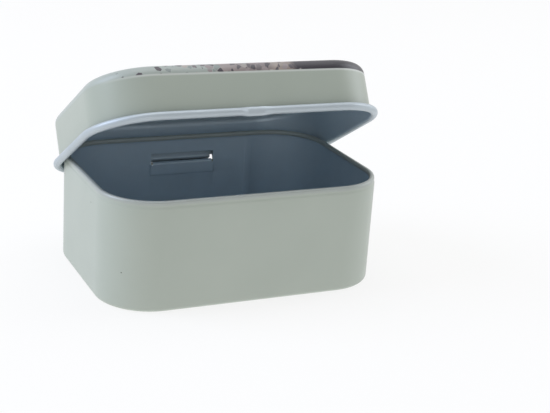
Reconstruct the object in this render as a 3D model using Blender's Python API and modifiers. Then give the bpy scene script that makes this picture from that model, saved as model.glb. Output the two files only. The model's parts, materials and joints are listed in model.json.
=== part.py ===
"""A hinged metal tin.

A deep rounded-rectangle body of thin sheet, a bottom panel held by its turned-in edge, and a lid with a
deep skirt and a rolled bead. The lid's back edge carries a rolled hinge tab, which turns about a steel wire
behind the body's back wall, over a hook that is cut and bent out of that wall. The lid stands part open.

Metres, +Z up. X runs along the length and the hinge is at +Y. The tin is modelled about the middle of its
body's base, and then moved along Y until the origin is under the middle of the whole open tin. Every sheet
is drawn as the middle surface of the metal and gets its thickness from a Solidify modifier.
"""
import math

import bmesh
import bpy
from mathutils import Vector

MM = 0.001

# Driving dimensions of the sheet metal
SHEET = 0.28 * MM
SEAT_GAP = 0.30 * MM

# Body, measured over its outside
BODY_LENGTH = 100.0 * MM
BODY_WIDTH = 72.0 * MM
BODY_HEIGHT = 38.0 * MM
BODY_CORNER_RADIUS = 18.5 * MM
BASE_EDGE_RADIUS = 1.5 * MM
BASE_LIP_WIDTH = 3.2 * MM
RIM_ROLL_RADIUS = 0.90 * MM
RIM_ROLL_TURN = 255.0
RIM_NECK_INSET = 0.25 * MM
RIM_NECK_DROP = 2.4 * MM
RIM_NECK_SLOPE = 0.5 * MM

# Bottom panel
PANEL_FLANGE_TOP = 3.4 * MM
PANEL_SEAT_WIDTH = 4.0 * MM
PANEL_RAMP_WIDTH = 1.2 * MM
PANEL_RISE = 1.2 * MM

# Hinge: where its axis lies, and the stack of radii from the wire outwards
HINGE_BELOW_RIM = 12.6 * MM
PIN_RADIUS = 0.85 * MM
PIN_END_BEVEL = 0.2 * MM
PIN_END_INSET = 0.7 * MM
HOOK_RUNNING_GAP = 0.45 * MM
POCKET_RUNNING_GAP = 0.35 * MM
OPENING_RANGE = 105.0
OPEN_AT_REST = 30.4

# Hinge tab of the lid, and the hook, pocket and slot of the body that take it
TAB_LENGTH = 24.0 * MM
TAB_NOTCH = 0.9 * MM
TAB_BEND_RADIUS = 0.9 * MM
HOOK_END_INSET = 1.0 * MM
HOOK_BEND_RADIUS = 0.45 * MM
HOOK_TURN = 120.0
POCKET_END_SLOPE = 0.7 * MM
POCKET_FOOT_SLOPE = 0.6 * MM
SLOT_HEIGHT = 4.1 * MM

# Lid, from the clearances between its skirt and the body
LID_SIDE_CLEARANCE = 0.45 * MM
LID_FRONT_CLEARANCE = 0.90 * MM
LID_REAR_CLEARANCE = 0.35 * MM
SKIRT_HEIGHT = 14.7 * MM
SHOULDER_RADIUS = 2.8 * MM
TOP_BORDER_WIDTH = 5.6 * MM
TOP_RAMP_WIDTH = 2.0 * MM
TOP_PANEL_SINK = 0.7 * MM
BEAD_RADIUS = 1.35 * MM
BEAD_TURN = 290.0
THUMB_DENT_DEPTH = 0.9 * MM
THUMB_DENT_FLAT = 9.6 * MM
THUMB_DENT_RAMP = 2.8 * MM

# Shares, angles and counts
SAME_PLACE_SHARE = 0.1
SMOOTH_BELOW = math.radians(35.0)
RAMP_EASE_SHARES = ((0.33, 0.2), (0.67, 0.8), (1.0, 1.0))
THUMB_RAMP_SHARES = (0.33, 0.67)
CORNER_STEPS = 8
EDGE_STEPS = 3
ROLL_STEPS = 9
SHOULDER_STEPS = 4
BEND_STEPS = 3
HINGE_STEPS = 10
PIN_SIDES = 24
PIN_BEVEL_STEPS = 2

# Worked out from the sizes above
HALF_SHEET = SHEET / 2
SAME_PLACE = SHEET * SAME_PLACE_SHARE
HINGE_OUT = LID_REAR_CLEARANCE + BEAD_RADIUS
HINGE_Y = BODY_WIDTH / 2 + HINGE_OUT
HINGE_Z = BODY_HEIGHT - HINGE_BELOW_RIM
HOOK_MIDDLE_RADIUS = PIN_RADIUS + SEAT_GAP + HALF_SHEET
ROLL_MIDDLE_RADIUS = HOOK_MIDDLE_RADIUS + HALF_SHEET + HOOK_RUNNING_GAP + HALF_SHEET
POCKET_REACH = ROLL_MIDDLE_RADIUS + HALF_SHEET + POCKET_RUNNING_GAP
POCKET_DEPTH = POCKET_REACH - HINGE_OUT
POCKET_HALF_LENGTH = TAB_LENGTH / 2 + POCKET_RUNNING_GAP
HOOK_HALF_LENGTH = TAB_LENGTH / 2 - HOOK_END_INSET


class Outline:
    """A rounded rectangle in plan, seen as the middle line of a sheet."""

    def __init__(self, half_length, front, rear, radius, rear_stops=(), front_stops=()):
        self.half_length = half_length
        self.front = front
        self.rear = rear
        self.radius = radius
        self.rear_stops = sorted({sign * stop for stop in rear_stops for sign in (-1, 1)}, reverse=True)
        self.front_stops = sorted({sign * stop for stop in front_stops for sign in (-1, 1)})

    def corner_centre(self, x_side, y_side):
        """Centre of the corner arc on the given side of the middle."""
        y_edge = self.rear if y_side > 0 else self.front
        return Vector((x_side * (self.half_length - self.radius), y_edge - y_side * self.radius, 0.0))

    def outward(self, point):
        """Direction away from the outline's middle, square to the outline."""
        core_low = self.corner_centre(-1, -1)
        core_high = self.corner_centre(1, 1)
        nearest = Vector((min(max(point.x, core_low.x), core_high.x),
                          min(max(point.y, core_low.y), core_high.y), point.z))
        return (point - nearest).normalized()

    def corner(self, x_side, y_side, start_angle):
        """Points of one corner arc, anticlockwise."""
        centre = self.corner_centre(x_side, y_side)
        for step in range(CORNER_STEPS + 1):
            angle = math.radians(start_angle + 90.0 * step / CORNER_STEPS)
            yield centre + self.radius * Vector((math.cos(angle), math.sin(angle), 0.0))

    def points(self):
        """The whole outline, anticlockwise from the right-hand end of the rear run."""
        yield from self.corner(1, 1, 0.0)
        yield from (Vector((x, self.rear, 0.0)) for x in self.rear_stops)
        yield from self.corner(-1, 1, 90.0)
        yield from self.corner(-1, -1, 180.0)
        yield from (Vector((x, self.front, 0.0)) for x in self.front_stops)
        yield from self.corner(1, -1, 270.0)

    def placed(self, offset, height):
        """The outline's points moved outwards by offset, at a height."""
        return [point + offset * self.outward(point) + Vector((0.0, 0.0, height)) for point in self.points()]


def arc(centre, radius, start, turn, steps):
    """Points along an arc after its start, as (out, up) pairs. Angles in degrees, from out towards up."""
    angles = (math.radians(start + turn * step / steps) for step in range(1, steps + 1))
    return [(centre[0] + radius * math.cos(angle), centre[1] + radius * math.sin(angle)) for angle in angles]


def new_ring(mesh, outline, offset, height, filled):
    """Start a sheet with the outline at one offset and height, and return its edges."""
    verts = [mesh.verts.new(point) for point in outline.placed(offset, height)]
    if filled:
        return list(mesh.faces.new(verts).edges)
    return [mesh.edges.new(pair) for pair in zip(verts, verts[1:] + verts[:1])]


def extrude(mesh, edges, place):
    """Extrude open edges, place each new vertex by a rule, and return the new outer edges."""
    made = bmesh.ops.extrude_edge_only(mesh, edges=edges)["geom"]
    verts = {item for item in made if isinstance(item, bmesh.types.BMVert)}
    for vert in verts:
        vert.co = place(vert.co)
    return [item for item in made if isinstance(item, bmesh.types.BMEdge) and set(item.verts) <= verts]


def sweep(mesh, edges, outline, start, profile):
    """Carry open edges along a profile of (offset, height) pairs round the outline."""
    for offset, height in profile:
        step_out, step_up = offset - start[0], height - start[1]
        edges = extrude(mesh, edges, lambda co, out=step_out, up=step_up:
                        co + out * outline.outward(co) + Vector((0.0, 0.0, up)))
        start = (offset, height)
    return edges


def sweep_straight(mesh, edges, profile):
    """Carry open edges on the rear run along a profile of (y, z) pairs."""
    for y, z in profile:
        edges = extrude(mesh, edges, lambda co, to_y=y, to_z=z: Vector((co.x, to_y, to_z)))
    return edges


def within_hinge(edge, outline, half_length):
    """Whether an edge lies on the rear run, inside the stretch that the hinge takes."""
    middle = (edge.verts[0].co + edge.verts[1].co) / 2
    return abs(middle.x) < half_length and middle.y > outline.corner_centre(1, 1).y


def material(name, colour, roughness, metallic):
    """A plain painted or bare metal finish."""
    made = bpy.data.materials.new(name)
    made.use_nodes = True
    shader = made.node_tree.nodes["Principled BSDF"]
    shader.inputs["Base Color"].default_value = (*colour, 1.0)
    shader.inputs["Roughness"].default_value = roughness
    shader.inputs["Metallic"].default_value = metallic
    return made


def sheet_object(name, mesh, collection, finish, origin=(0.0, 0.0, 0.0)):
    """Turn a middle surface into an object of sheet thickness, with its origin where it is told."""
    bmesh.ops.translate(mesh, verts=mesh.verts, vec=-Vector(origin))
    bmesh.ops.recalc_face_normals(mesh, faces=mesh.faces)
    data = bpy.data.meshes.new(name)
    mesh.to_mesh(data)
    mesh.free()
    data.shade_smooth()
    data.set_sharp_from_angle(angle=SMOOTH_BELOW)
    data.materials.append(finish)
    made = bpy.data.objects.new(name, data)
    made.location = origin
    collection.objects.link(made)
    thickness = made.modifiers.new("Sheet thickness", "SOLIDIFY")
    thickness.thickness = SHEET
    thickness.offset = 0.0
    thickness.use_even_offset = True
    return made


def body_outline():
    """Middle line of the body's wall."""
    return Outline(BODY_LENGTH / 2 - HALF_SHEET, HALF_SHEET - BODY_WIDTH / 2, BODY_WIDTH / 2 - HALF_SHEET,
                   BODY_CORNER_RADIUS - HALF_SHEET,
                   rear_stops=(HOOK_HALF_LENGTH, POCKET_HALF_LENGTH, POCKET_HALF_LENGTH + POCKET_END_SLOPE))


def make_body_wall(collection):
    """The wall: turned in at the foot, rolled in at the rim, with the hinge seat in its back."""
    outline = body_outline()
    edge_radius = BASE_EDGE_RADIUS - HALF_SHEET
    roll_radius = RIM_ROLL_RADIUS - HALF_SHEET
    floor_low = HINGE_Z - POCKET_REACH
    floor_top = HINGE_Z + HOOK_MIDDLE_RADIUS - HOOK_BEND_RADIUS
    slot_top = HINGE_Z + HOOK_MIDDLE_RADIUS + HALF_SHEET + SLOT_HEIGHT
    neck_low = BODY_HEIGHT - RIM_NECK_DROP
    rim_centre = (-RIM_NECK_INSET - roll_radius, BODY_HEIGHT - RIM_ROLL_RADIUS)

    mesh = bmesh.new()
    start = (-edge_radius - BASE_LIP_WIDTH, HALF_SHEET)
    edges = new_ring(mesh, outline, *start, filled=False)
    profile = [(-edge_radius, HALF_SHEET)]
    profile += arc((-edge_radius, BASE_EDGE_RADIUS), edge_radius, -90.0, 90.0, EDGE_STEPS)
    profile += [(0.0, height) for height in (floor_low - POCKET_FOOT_SLOPE, floor_low, floor_top, slot_top,
                                             neck_low)]
    profile += [(-RIM_NECK_INSET, neck_low + RIM_NECK_SLOPE), (-RIM_NECK_INSET, rim_centre[1])]
    profile += arc(rim_centre, roll_radius, 0.0, RIM_ROLL_TURN, ROLL_STEPS)
    sweep(mesh, edges, outline, start, profile)

    cut_slot(mesh, outline, floor_top, slot_top)
    press_pocket(mesh, outline, floor_low, floor_top)
    bend_hook(mesh, outline, floor_top)
    finish = material("Grey-green enamel on tinplate", (0.40, 0.45, 0.40), 0.4, 0.0)
    return sheet_object("body_wall", mesh, collection, finish)


def on_line(value, low, high):
    """Whether a coordinate lies between two lines of the sheet or on one, allowing for 32-bit rounding."""
    return low - SAME_PLACE < value < high + SAME_PLACE


def cut_slot(mesh, outline, low, high):
    """Open the slot above the pocket, which the hook is cut from."""
    rear_run = outline.corner_centre(1, 1).y
    panels = []
    for face in mesh.faces:
        middle = face.calc_center_median()
        if abs(middle.x) < POCKET_HALF_LENGTH and middle.y > rear_run and low < middle.z < high:
            panels.append(face)
    bmesh.ops.delete(mesh, geom=panels, context="FACES")


def press_pocket(mesh, outline, low, high):
    """Press the seat of the hinge roll inwards, with sloping ends and foot."""
    for vert in mesh.verts:
        if (on_line(vert.co.y, outline.rear, outline.rear) and on_line(vert.co.z, low, high)
                and on_line(abs(vert.co.x), 0.0, POCKET_HALF_LENGTH)):
            vert.co.y -= POCKET_DEPTH


def bend_hook(mesh, outline, floor_top):
    """Bend the hook out of the slot's lower edge, over the wire."""
    floor_y = outline.rear - POCKET_DEPTH
    lip = {vert for vert in mesh.verts
           if on_line(vert.co.y, floor_y, floor_y) and on_line(vert.co.z, floor_top, floor_top)
           and on_line(abs(vert.co.x), 0.0, HOOK_HALF_LENGTH)}
    edges = [edge for edge in mesh.edges if edge.is_boundary and set(edge.verts) <= lip]
    bend_centre = (floor_y + HOOK_BEND_RADIUS, floor_top)
    profile = arc(bend_centre, HOOK_BEND_RADIUS, 180.0, -90.0, BEND_STEPS)
    profile += [(HINGE_Y, HINGE_Z + HOOK_MIDDLE_RADIUS)]
    profile += arc((HINGE_Y, HINGE_Z), HOOK_MIDDLE_RADIUS, 90.0, -HOOK_TURN, HINGE_STEPS)
    sweep_straight(mesh, edges, profile)


def make_bottom_panel(collection):
    """The base panel: it sits on the wall's turned-in lip and stands up inside the wall."""
    outline = body_outline()
    flange = -(SHEET + SEAT_GAP)
    bend_radius = BASE_EDGE_RADIUS - HALF_SHEET + flange
    seat_height = SHEET + SEAT_GAP + HALF_SHEET
    seat_outer = flange - bend_radius
    seat_inner = seat_outer - PANEL_SEAT_WIDTH

    mesh = bmesh.new()
    start = (seat_inner - PANEL_RAMP_WIDTH, seat_height + PANEL_RISE)
    edges = new_ring(mesh, outline, *start, filled=True)
    profile = [(seat_inner, seat_height), (seat_outer, seat_height)]
    profile += arc((seat_outer, seat_height + bend_radius), bend_radius, -90.0, 90.0, EDGE_STEPS)
    profile += [(flange, PANEL_FLANGE_TOP)]
    sweep(mesh, edges, outline, start, profile)
    finish = material("Slate-blue lacquer on tinplate", (0.06, 0.09, 0.12), 0.35, 0.0)
    return sheet_object("bottom_panel", mesh, collection, finish)


def lid_outline():
    """Middle line of the lid's skirt. It has more room at the front, where the edge swings past the rim."""
    flat = THUMB_DENT_FLAT / 2
    ramps = tuple(flat + THUMB_DENT_RAMP * share for share in THUMB_RAMP_SHARES)
    return Outline(BODY_LENGTH / 2 + LID_SIDE_CLEARANCE + HALF_SHEET,
                   -(BODY_WIDTH / 2 + LID_FRONT_CLEARANCE + HALF_SHEET),
                   BODY_WIDTH / 2 + LID_REAR_CLEARANCE + HALF_SHEET,
                   BODY_CORNER_RADIUS + LID_SIDE_CLEARANCE + HALF_SHEET,
                   rear_stops=(TAB_LENGTH / 2, TAB_LENGTH / 2 + TAB_NOTCH),
                   front_stops=(flat, *ramps, flat + THUMB_DENT_RAMP))


def make_lid(collection):
    """The lid: a sunk top, a rounded shoulder, a deep skirt, a rolled bead and the hinge tab."""
    outline = lid_outline()
    shoulder_radius = SHOULDER_RADIUS - HALF_SHEET
    shoulder_height = HINGE_Z + SKIRT_HEIGHT
    top_height = shoulder_height + shoulder_radius
    border = HALF_SHEET - TOP_BORDER_WIDTH
    tab_start = HINGE_Z + ROLL_MIDDLE_RADIUS + TAB_BEND_RADIUS
    bead_radius = BEAD_RADIUS - HALF_SHEET

    mesh = bmesh.new()
    start = (border - TOP_RAMP_WIDTH, top_height - TOP_PANEL_SINK)
    edges = new_ring(mesh, outline, *start, filled=True)
    profile = [(start[0] + TOP_RAMP_WIDTH * out, start[1] + TOP_PANEL_SINK * up)
               for out, up in RAMP_EASE_SHARES]
    profile += [(-shoulder_radius, top_height)]
    profile += arc((-shoulder_radius, shoulder_height), shoulder_radius, 90.0, -90.0, SHOULDER_STEPS)
    profile += [(0.0, tab_start)]
    edges = sweep(mesh, edges, outline, start, profile)

    tab_edges = [edge for edge in edges if within_hinge(edge, outline, TAB_LENGTH / 2)]
    bead_edges = [edge for edge in edges if not within_hinge(edge, outline, TAB_LENGTH / 2 + TAB_NOTCH)]
    bead = [(0.0, HINGE_Z)] + arc((bead_radius, HINGE_Z), bead_radius, 180.0, BEAD_TURN, ROLL_STEPS)
    sweep(mesh, bead_edges, outline, (0.0, tab_start), bead)
    press_thumb_dent(mesh, outline)
    roll_tab(mesh, tab_edges, outline, tab_start)
    finish = material("Grey-green enamel lid", (0.42, 0.46, 0.41), 0.35, 0.0)
    made = sheet_object("lid", mesh, collection, finish, origin=(0.0, HINGE_Y, HINGE_Z))
    made.rotation_euler.x = -math.radians(OPEN_AT_REST)
    return made


def press_thumb_dent(mesh, outline):
    """Flatten the bead at the middle of the front, where a thumb lifts the lid."""
    kept_share = 1.0 - THUMB_DENT_DEPTH / (2 * BEAD_RADIUS)
    for vert in mesh.verts:
        beyond = outline.front - vert.co.y
        into_ramp = (abs(vert.co.x) - THUMB_DENT_FLAT / 2) / THUMB_DENT_RAMP
        if beyond > 0.0 and into_ramp < 1.0:
            ramp = max(into_ramp, 0.0)
            ease = ramp * ramp * (3.0 - 2.0 * ramp)
            vert.co.y = outline.front - beyond * (kept_share + (1.0 - kept_share) * ease)


def roll_tab(mesh, edges, outline, tab_start):
    """Bend the tab out of the skirt, and roll it over the hook until its end meets the hook when open."""
    under_hook = (HOOK_MIDDLE_RADIUS - HALF_SHEET) / (ROLL_MIDDLE_RADIUS + HALF_SHEET)
    hook_angle = 180.0 - math.degrees(math.asin(under_hook))
    end_room = math.degrees(SEAT_GAP / ROLL_MIDDLE_RADIUS)
    roll_turn = 450.0 - hook_angle - end_room - OPENING_RANGE
    bend_centre = (outline.rear + TAB_BEND_RADIUS, tab_start)
    profile = arc(bend_centre, TAB_BEND_RADIUS, 180.0, 90.0, BEND_STEPS)
    profile += [(HINGE_Y, HINGE_Z + ROLL_MIDDLE_RADIUS)]
    profile += arc((HINGE_Y, HINGE_Z), ROLL_MIDDLE_RADIUS, 90.0, -roll_turn, HINGE_STEPS)
    sweep_straight(mesh, edges, profile)


def make_hinge_pin(collection):
    """The steel wire that the hinge turns about."""
    bpy.ops.mesh.primitive_cylinder_add(vertices=PIN_SIDES, radius=PIN_RADIUS,
                                        depth=TAB_LENGTH - 2 * PIN_END_INSET,
                                        location=(0.0, HINGE_Y, HINGE_Z), rotation=(0.0, math.pi / 2, 0.0))
    made = bpy.context.active_object
    made.name = "hinge_pin"
    made.data.name = "hinge_pin"
    made.data.shade_smooth()
    made.data.set_sharp_from_angle(angle=SMOOTH_BELOW)
    made.data.materials.append(material("Bright steel wire", (0.56, 0.57, 0.58), 0.3, 1.0))
    ends = made.modifiers.new("Rounded ends", "BEVEL")
    ends.width = PIN_END_BEVEL
    ends.segments = PIN_BEVEL_STEPS
    ends.limit_method = "ANGLE"
    for owner in list(made.users_collection):
        owner.objects.unlink(made)
    collection.objects.link(made)
    return made


def move_over_origin(collection):
    """Hang the pieces on one empty, moved until the origin is under the middle of the open tin's box."""
    bpy.context.view_layer.update()
    depsgraph = bpy.context.evaluated_depsgraph_get()
    depths = [(piece.matrix_world @ vert.co).y
              for piece in collection.objects for vert in piece.evaluated_get(depsgraph).data.vertices]
    stand = bpy.data.objects.new("tin_stand", None)
    stand.location.y = -(min(depths) + max(depths)) / 2
    for piece in list(collection.objects):
        piece.parent = stand
    collection.objects.link(stand)


def main():
    """Clear the scene and build the tin."""
    for old in list(bpy.data.objects):
        bpy.data.objects.remove(old, do_unlink=True)
    collection = bpy.data.collections.new("Hinged metal tin")
    bpy.context.scene.collection.children.link(collection)
    make_body_wall(collection)
    make_bottom_panel(collection)
    make_lid(collection)
    make_hinge_pin(collection)
    move_over_origin(collection)


main()
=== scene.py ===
"""The looks of a hinged tinplate tin that stands part open.

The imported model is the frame. Its four pieces are modelled again here as finer ones in the same
places: the body's wall with its rolled rim and hinge seat, the bottom panel, the lid with its
bead and hinge tab, and the hinge wire. Metres throughout, +Z up, the hinge at +Y.
"""

import json
import logging
import math
from dataclasses import dataclass
from enum import IntEnum
from functools import partial
from typing import Callable, Optional, Sequence

import bmesh
import bpy
from bpy.types import Material, Modifier, Node, NodeSocket, NodeTree, Object
from mathutils import Matrix, Vector


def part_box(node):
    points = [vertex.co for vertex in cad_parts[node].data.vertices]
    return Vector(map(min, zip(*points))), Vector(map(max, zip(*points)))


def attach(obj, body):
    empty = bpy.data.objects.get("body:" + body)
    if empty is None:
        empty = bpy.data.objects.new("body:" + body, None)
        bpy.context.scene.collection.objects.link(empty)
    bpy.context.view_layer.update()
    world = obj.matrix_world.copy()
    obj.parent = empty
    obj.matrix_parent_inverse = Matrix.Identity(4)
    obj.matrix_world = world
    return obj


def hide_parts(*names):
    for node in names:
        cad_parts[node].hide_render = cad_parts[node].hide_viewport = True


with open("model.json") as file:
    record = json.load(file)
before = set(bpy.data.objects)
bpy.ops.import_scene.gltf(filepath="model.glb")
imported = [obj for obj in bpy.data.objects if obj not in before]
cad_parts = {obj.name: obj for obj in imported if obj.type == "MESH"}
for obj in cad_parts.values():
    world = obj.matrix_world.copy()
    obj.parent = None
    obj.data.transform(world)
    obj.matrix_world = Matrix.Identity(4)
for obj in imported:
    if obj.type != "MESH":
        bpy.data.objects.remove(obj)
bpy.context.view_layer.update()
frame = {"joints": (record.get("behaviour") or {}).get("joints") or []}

MM = 0.001
GAUGE = 0.28 * MM
HALF = GAUGE / 2
WELD = 0.01 * MM
SMOOTH_BELOW = math.radians(38.0)
SOFT_ROWS = 6
SOFT_STEPS = tuple(row / SOFT_ROWS for row in range(1, SOFT_ROWS + 1))
SHARE_DIGITS = 4
UP = (0.0, 0.0, 1.0)
log = logging.getLogger("tin")

Place = Callable[[Vector], bool]
Materials = Sequence[Material]
Stops = tuple[tuple[float, str], ...]
AddNode = Callable[..., Node]


class Side(IntEnum):
    """The surfaces of a sheet, as the indices of its material slots."""

    OUTSIDE = 0
    INSIDE = 1
    CUT_EDGE = 2
    CURLED = 3


# Finishes


def linear(hex_colour: str) -> tuple[float, float, float, float]:
    """Turn an sRGB hex colour into the linear colour that a shader takes.

    Args:
        hex_colour: Six hex digits after a hash sign.

    Returns:
        Linear red, green and blue, and an alpha of one.
    """
    channels = (int(hex_colour[start:start + 2], 16) / 255 for start in (1, 3, 5))
    red, green, blue = (c / 12.92 if c <= 0.04045 else ((c + 0.055) / 1.055) ** 2.4
                        for c in channels)
    return red, green, blue, 1.0


def feed(node: Node, **inputs: object) -> None:
    """Set or link a node's inputs.

    Args:
        node: The node.
        **inputs: Values, output sockets, or nodes whose first output is taken, each by its
            input's name, or by its number after the letter i.
    """
    for name, value in inputs.items():
        socket = node.inputs[int(name[1:]) if name[1:].isdigit() else name.replace("_", " ")]
        if isinstance(value, Node):
            value = value.outputs[0]
        if isinstance(value, NodeSocket):
            node.id_data.links.new(value, socket)
        else:
            socket.default_value = value


def add_node(tree: NodeTree, kind: str, settings: Optional[dict] = None, **inputs: object) -> Node:
    """Add one node to a tree, with its settings, values and links.

    Args:
        tree: The material's or world's node tree.
        kind: The node's type name, such as ShaderNodeMath.
        settings: Properties of the node itself. The key stops takes a colour ramp's positions and
            hex colours.
        **inputs: What goes into it, in the way that feed takes it.

    Returns:
        The new node.
    """
    node = tree.nodes.new(kind)
    for name, value in (settings or {}).items():
        if name == "stops":
            elements = node.color_ramp.elements
            while len(elements) < len(value):
                elements.new(1.0)
            for element, (position, colour) in zip(elements, value):
                element.position, element.color = position, linear(colour)
        elif name == "interpolation":
            node.color_ramp.interpolation = value
        else:
            setattr(node, name, value)
    feed(node, **inputs)
    return node


def new_material(name: str) -> tuple[Material, AddNode, Node]:
    """Start a material.

    Args:
        name: The finish's name.

    Returns:
        The material, what adds a node to it, and its Principled shader.
    """
    material = bpy.data.materials.new(name)
    material.use_nodes = True
    tree = material.node_tree
    return material, partial(add_node, tree), tree.nodes["Principled BSDF"]


@dataclass(frozen=True)
class PrintedTop:
    """A lithographed top: an all-over pebble print in the tin's own colours.

    It starts at the lid's crease, above a thin pale line that is a painted highlight on the bend,
    and covers the shoulder, the border and the sunk panel. Its ground goes from the tin's
    grey-green through a dusty pink to a dark aubergine in broad wavy bands, with chips of the same
    colours scattered on it.
    """

    ground: Stops = (
        (0.0, "#A4ACA6"), (0.36, "#9DA5A0"), (0.41, "#958B89"), (0.60, "#7E7474"),
        (0.63, "#9D938B"), (0.68, "#867B75"), (0.70, "#322F37"), (1.0, "#26252C"))
    chips: Stops = (
        (0.0, "#48444A"), (0.18, "#918888"), (0.34, "#6D6668"), (0.48, "#9C9691"),
        (0.58, "#575257"), (0.76, "#858E8B"), (0.90, "#A79F99"))
    chip_size: float = 1.9 * MM
    chip_gap: float = 0.055
    chip_shares: Stops = (
        (0.0, "#303030"), (0.13, "#606060"), (0.28, "#B4B4B4"), (0.60, "#BCBCBC"),
        (0.74, "#4C4C4C"))
    chip_raggedness: float = 0.9 * MM
    length: float = 100.0 * MM
    wave: float = 0.16
    wave_size: float = 30.0 * MM
    crease: float = 13.8 * MM
    crease_blur: float = 0.15 * MM
    skew: float = 0.006
    crease_highlight_width: float = 0.75 * MM
    crease_highlight_colour: str = "#BFC4BF"
    crease_highlight_start: float = -48.0 * MM
    crease_highlight_fade: float = 12.0 * MM

    def colour(self, add: AddNode, place: NodeSocket, enamel: NodeSocket) -> NodeSocket:
        """Lay the print over the enamel's colour above the crease, and a painted highlight line
        below it.

        Args:
            add: What adds a node to the lid's enamel.
            place: The position in the shut lid's own frame, from the hinge.
            enamel: The plain enamel's colour.

        Returns:
            The colour of the enamel with its print.
        """
        parts = add("ShaderNodeSeparateXYZ", Vector=place)
        waves = add("ShaderNodeTexNoise", Vector=place, Scale=1 / self.wave_size, Detail=1.5,
                    Roughness=0.4)
        along = add("ShaderNodeMath", {"operation": "MULTIPLY_ADD"}, i0=parts.outputs["X"],
                    i1=1 / self.length, i2=0.5 - self.wave / 2)
        waved = add("ShaderNodeMath", {"operation": "MULTIPLY_ADD"}, i0=waves, i1=self.wave,
                    i2=along)
        ground = add("ShaderNodeValToRGB", {"stops": self.ground}, Fac=waved)

        ragged = add("ShaderNodeTexNoise", Vector=place, Scale=1 / self.chip_size, Detail=2.0)
        shifted = add("ShaderNodeVectorMath", {"operation": "MULTIPLY_ADD"},
                      i0=ragged.outputs["Color"], i1=(self.chip_raggedness,) * 3, i2=place)
        cells = add("ShaderNodeTexVoronoi", Vector=shifted, Scale=1 / self.chip_size)
        gaps = add("ShaderNodeTexVoronoi", {"feature": "DISTANCE_TO_EDGE"}, Vector=shifted,
                   Scale=1 / self.chip_size)
        drawn = add("ShaderNodeSeparateColor", Color=cells.outputs["Color"])
        colours = add("ShaderNodeValToRGB", {"stops": self.chips, "interpolation": "CONSTANT"},
                      Fac=drawn.outputs["Red"])
        inside = add("ShaderNodeMath", {"operation": "GREATER_THAN"}, i0=gaps.outputs["Distance"],
                     i1=self.chip_gap)
        share = add("ShaderNodeValToRGB", {"stops": self.chip_shares}, Fac=waved)
        chosen = add("ShaderNodeMath", {"operation": "LESS_THAN"}, i0=drawn.outputs["Green"],
                     i1=share)
        chip = add("ShaderNodeMath", {"operation": "MULTIPLY"}, i0=inside, i1=chosen)
        printed = add("ShaderNodeMix", {"data_type": "RGBA"}, i0=chip, i6=ground, i7=colours)

        # The thin pale line just under the print's lower edge is a painted highlight on the
        # shoulder's bend; it fades out towards the lid's left end.
        line = add("ShaderNodeMath", {"operation": "MULTIPLY_ADD"}, i0=parts.outputs["X"],
                   i1=self.skew, i2=parts.outputs["Z"])
        above = add("ShaderNodeMapRange", Value=line, i1=self.crease,
                    i2=self.crease + self.crease_blur)
        crease_highlight_band = add("ShaderNodeMapRange", Value=line, i1=self.crease - self.crease_highlight_width,
                   i2=self.crease - self.crease_highlight_width / 2)
        faded = add("ShaderNodeMapRange", Value=parts.outputs["X"], i1=self.crease_highlight_start,
                    i2=self.crease_highlight_start + self.crease_highlight_fade)
        bend = add("ShaderNodeMath", {"operation": "MULTIPLY"}, i0=crease_highlight_band, i1=faded)
        edge = add("ShaderNodeMix", {"data_type": "RGBA"}, i0=bend, i6=enamel,
                   i7=linear(self.crease_highlight_colour))
        joined = add("ShaderNodeMix", {"data_type": "RGBA"}, i0=above, i6=edge.outputs[2],
                     i7=printed.outputs[2])
        return joined.outputs[2]


@dataclass(frozen=True)
class BareMargin:
    """The unprinted margin of a sheet, with only the clear size coat that seals the tinplate.

    The printer leaves it free along the sheet's edge, and the rim is rolled from it.
    """

    rim: float
    width: float = 1.25 * MM
    blur: float = 0.12 * MM
    waver: float = 0.25 * MM
    waver_size: float = 14.0 * MM
    colour: str = "#A3A9A5"
    metallic: float = 0.12

    def share(self, add: AddNode, place: NodeSocket) -> NodeSocket:
        """Find where the margin lies, from one at the sheet's edge to nought on the print.

        Args:
            add: What adds a node to the enamel.
            place: The position on the piece.

        Returns:
            The margin's share.
        """
        start = self.rim - self.width
        parts = add("ShaderNodeSeparateXYZ", Vector=place)
        waves = add("ShaderNodeTexNoise", Vector=place, Scale=1 / self.waver_size, Detail=0.0)
        line = add("ShaderNodeMath", {"operation": "MULTIPLY_ADD"}, i0=waves, i1=self.waver,
                   i2=parts.outputs["Z"])
        return add("ShaderNodeMapRange", Value=line, i1=start, i2=start + self.blur).outputs[0]


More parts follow.
